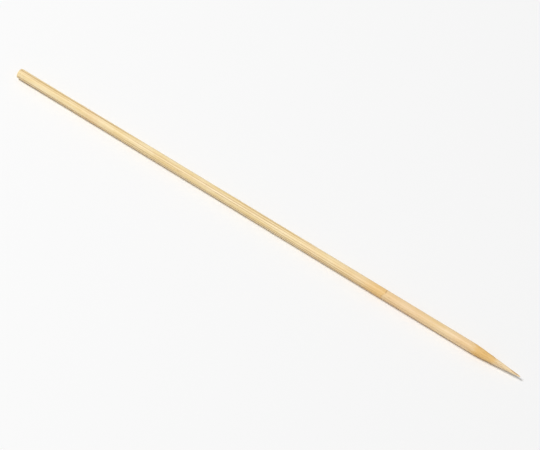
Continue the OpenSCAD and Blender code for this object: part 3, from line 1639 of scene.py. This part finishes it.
@dataclass(frozen=True)
class LooseFibres:
    """Fibres that the die and the saw have lifted: thin ribbons with one end still in the wood.

    They stand where the stick leaves room in its own box: between its sides on the shaft, and anywhere on
    the point.

    Attributes:
        CORNERS: corners of a fibre's section, which is a diamond.
        fibres: every fibre, placed where the tools catch the grain.
        width: width of a fibre at its root.
        thickness: its thickness there.
        sunk: how deep the root is sunk into the wood.
        curl: how far it swings sideways, in radians about the axis.
        curl_turn: angle that the sine wave of that swing runs through.
        tip_share: share of its length that its blunt tip stands for.
        steps: rings along each fibre.
    """

    CORNERS: ClassVar[int] = 4

    fibres: tuple[Fibre, ...] = (
        Fibre(3.4, 52, -2.6, 0.20),
        Fibre(2.6, 131, -1.8, 0.26),
        Fibre(21.0, 44, 5.5, 0.22),
        Fibre(58.0, 137, 4.2, 0.26),
        Fibre(77.5, 40, 3.4, 0.18),
        Fibre(101.0, 49, 6.2, 0.24),
        Fibre(133.4, 128, 2.4, 0.20),
        Fibre(149.0, 316, 4.0, 0.22),
        Fibre(163.5, 62, 2.8, 0.20),
        Fibre(169.0, 20, 2.2, 0.16),
        Fibre(171.5, 118, 2.6, 0.22),
    )
    width: float = 0.09
    thickness: float = 0.05
    sunk: float = 0.04
    curl: float = 0.12
    curl_turn: float = 2.2
    tip_share: float = 0.004
    steps: int = 14

    def shape(self, outline: Outline) -> Array:
        """Works out the points of all the fibres.

        A fibre's middle line rises from its root as lift * share^2 along its length, and swings sideways by a
        sine wave. Its section is a diamond that shrinks as the square root of what is left of the length. A
        fibre that points to the butt is mirrored, so that its faces point outwards too.

        Args:
            outline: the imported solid's section.

        Returns:
            The points, indexed by fibre, ring, corner and axis.
        """
        columns = np.array([astuple(fibre) for fibre in self.fibres], float).T
        root, turn, length, lift = (column[:, None, None] for column in columns)
        share = np.linspace(0, 1, self.steps)[:, None]
        corner = np.arange(self.CORNERS) * FULL_TURN / self.CORNERS
        left = np.sqrt(np.maximum(1 - share, self.tip_share))
        along = root + length * share
        swing = np.radians(turn) + self.curl * share * np.sin(self.curl_turn * share + root)
        height = outline.radius_at(along) - self.sunk * (1 - share) ** 2 + lift * share**2
        radius = height + self.thickness / 2 * left * np.sin(corner)
        around = swing + np.sign(length) * self.width / 2 * left * np.cos(corner) / height
        return outline.in_frame(along, radius, around)

    def build(self, outline: Outline) -> bpy.types.Object:
        """Makes all the fibres as one piece, each a tube with a cap at both ends.

        Args:
            outline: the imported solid's section.

        Returns:
            The piece.
        """
        points = self.shape(outline).reshape(-1, 3)
        points_each = self.CORNERS * self.steps
        # A fibre's corners run round it the other way than the stick's points, so its sides are turned over
        sides = ring_faces(self.steps, self.CORNERS)[:, ::-1]
        root_cap = np.arange(self.CORNERS)
        end_cap = points_each - 1 - root_cap
        one_fibre = np.concatenate([sides, [root_cap, end_cap]])
        firsts = points_each * np.arange(len(self.fibres))[:, None, None]
        piece = add_piece("loose_fibres", points, [(firsts + one_fibre).reshape(-1, self.CORNERS)])
        piece.data.materials.append(TornFibre().build())
        return piece


@dataclass(frozen=True)
class Studio:
    """Camera, lamp, surroundings and floor.

    Attributes:
        azimuth: the photograph's direction of view about the vertical, in degrees.
        elevation: the camera's height above the horizon, in degrees.
        distance: from the camera to the stick, in metres.
        fill: share of the frame that the stick's outline fills.
        frame_size: width and height of the picture in pixels.
        sensor: width of the camera's sensor.
        sky: strength of the even light from all round.
        lamp_power: power of the soft lamp above, in watts.
        lamp_size: its width and depth, in metres.
        lamp_place: where it hangs, in metres.
        floor_white: the floor's own colour.
        floor_reach: distance from the middle to the floor's edge, in metres.
        fade: distances from the middle where the floor starts to fade to plain white and where it is, in
            metres.
    """

    azimuth: float = 38.8
    elevation: float = 49.0
    distance: float = 1.6
    fill: float = 0.94
    frame_size: tuple[int, int] = (540, 450)
    sensor: float = 36.0
    sky: float = 0.38
    lamp_power: float = 43.0
    lamp_size: Pair = (1.0, 0.8)
    lamp_place: Triple = (-0.9, -0.5, 2.2)
    floor_white: str = "#F6F6F6"
    floor_reach: float = 8.0
    fade: Pair = (0.2, 0.7)

    @property
    def back(self) -> Vector:
        """Direction from the stick to the camera."""
        turn, lift = math.radians(self.azimuth), math.radians(self.elevation)
        return Vector((math.sin(turn) * math.cos(lift), -math.cos(turn) * math.cos(lift), math.sin(lift)))

    def aim(self, low: Vector, high: Vector) -> Vector:
        """Finds the point to look at, for both ends of the stick to lie as far from the frame's middle.

        An end is seen at its offset divided by its depth, so each offset is weighted by the other's depth.

        Args:
            low: the object's lowest corner.
            high: its highest corner.

        Returns:
            The point.
        """
        middle = (low + high) / 2
        ends = [Vector((x - middle.x, 0, 0)) for x in (low.x, high.x)]
        depths = [self.distance - end.dot(self.back) for end in ends]
        return middle + (ends[0] * depths[1] + ends[1] * depths[0]) / sum(depths)

    def lens(self, facing: Quaternion, offsets: list[Vector]) -> float:
        """Works out the lens with which a box of points fills its share of the frame.

        Args:
            facing: the camera's rotation.
            offsets: the box's corners, from the point that the camera looks at.

        Returns:
            The focal length.
        """
        depths = [self.distance - offset.dot(self.back) for offset in offsets]
        wide, tall = (
            max(abs(offset.dot(facing @ side)) / depth for offset, depth in zip(offsets, depths))
            for side in (Vector((1, 0, 0)), Vector((0, 1, 0)))
        )
        aspect = self.frame_size[0] / self.frame_size[1]
        return self.fill * self.sensor / 2 / max(wide, tall * aspect)

    def add_camera(self, low: Vector, high: Vector) -> None:
        """Makes the camera, at the photograph's angle of view.

        Args:
            low: the object's lowest corner.
            high: its highest corner.
        """
        aim, facing = self.aim(low, high), (-self.back).to_track_quat("-Z", "Y")
        box = [Vector((x, y, z)) for x in (low.x, high.x) for y in (low.y, high.y) for z in (low.z, high.z)]
        data = bpy.data.cameras.new("camera")
        data.sensor_width = self.sensor
        data.lens = self.lens(facing, [corner - aim for corner in box])
        camera = bpy.data.objects.new("camera", data)
        camera.location = aim + self.back * self.distance
        camera.rotation_mode = "QUATERNION"
        camera.rotation_quaternion = facing
        bpy.context.scene.collection.objects.link(camera)
        bpy.context.scene.camera = camera

    def add_lamp(self) -> None:
        """Hangs one broad soft lamp over the stick, to its left and a little towards the camera."""
        data = bpy.data.lights.new("soft_lamp", "AREA")
        data.shape = "RECTANGLE"
        data.size, data.size_y = self.lamp_size
        data.energy = self.lamp_power
        lamp = bpy.data.objects.new("soft_lamp", data)
        lamp.location = self.lamp_place
        lamp.rotation_mode = "QUATERNION"
        lamp.rotation_quaternion = (-Vector(self.lamp_place)).to_track_quat("-Z", "Y")
        bpy.context.scene.collection.objects.link(lamp)

    def add_surroundings(self) -> None:
        """Lights the scene evenly from all round, and shows as plain white."""
        world = bpy.data.worlds.new("studio")
        world.use_nodes = True
        tree = world.node_tree
        tree.nodes.clear()
        light = add_node(tree, "ShaderNodeBackground", {"Color": WHITE, "Strength": self.sky})
        white = add_node(tree, "ShaderNodeBackground", {"Color": WHITE, "Strength": 1.0})
        mixed = add_node(tree, "ShaderNodeMixShader", {0: seen_share(tree), 1: light, 2: white})
        add_node(tree, "ShaderNodeOutputWorld", {"Surface": mixed})
        bpy.context.scene.world = world

    def add_floor(self, height: float) -> None:
        """Lays a pale floor that fades to the surroundings' white with the distance from the stick.

        Args:
            height: the floor's z in metres.
        """
        far = self.floor_reach
        square = [(x, y, height) for x, y in ((-far, -far), (far, -far), (far, far), (-far, far))]
        mesh = bpy.data.meshes.new("floor")
        mesh.from_pydata(square, [], [(0, 1, 2, 3)])
        material, tree = empty_material("pale_floor")
        matt = add_node(tree, "ShaderNodeBsdfDiffuse", {"Color": linear(self.floor_white)})
        white = add_node(tree, "ShaderNodeEmission", {"Color": WHITE, "Strength": 1.0})
        place = add_node(tree, "ShaderNodeTexCoord").outputs["Object"]
        away = add_node(tree, "ShaderNodeVectorMath", {0: place}, operation="LENGTH")
        fade = {"Value": away, "From Min": self.fade[0], "From Max": self.fade[1]}
        share = add_node(tree, "ShaderNodeMapRange", fade, interpolation_type="SMOOTHSTEP")
        share = add_node(tree, "ShaderNodeMath", {0: share, 1: seen_share(tree)}, operation="MULTIPLY")
        mixed = add_node(tree, "ShaderNodeMixShader", {0: share, 1: matt, 2: white})
        add_node(tree, "ShaderNodeOutputMaterial", {"Surface": mixed})
        mesh.materials.append(material)
        floor = bpy.data.objects.new("floor", mesh)
        bpy.context.scene.collection.objects.link(floor)
        floor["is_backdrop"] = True

    def set_up(self, low: Vector, high: Vector) -> None:
        """Makes the camera, the light and the floor round the object.

        Args:
            low: the object's lowest corner.
            high: its highest corner.
        """
        self.add_camera(low, high)
        self.add_lamp()
        self.add_surroundings()
        self.add_floor(low.z)
        bpy.context.scene.view_settings.view_transform = "Standard"


def main() -> None:
    """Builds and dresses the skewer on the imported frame, then sets the studio up round it."""
    logging.basicConfig(level=logging.INFO, format="%(message)s")
    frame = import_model()
    cad_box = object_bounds()
    outline = Outline.of_solid(frame["nodes"][CAD_NODE], frame["record"]["mounts"])
    LOG.info("outline: %.1f mm long, %.2f mm thick", outline.length, 2 * outline.stick_radius)
    for piece in (Stick(outline).build(), LooseFibres().build(outline)):
        LOG.info("%s: %d points, %d faces", piece.name, len(piece.data.vertices), len(piece.data.polygons))
    Studio().set_up(*cad_box)


if __name__ == "__main__":
    main()
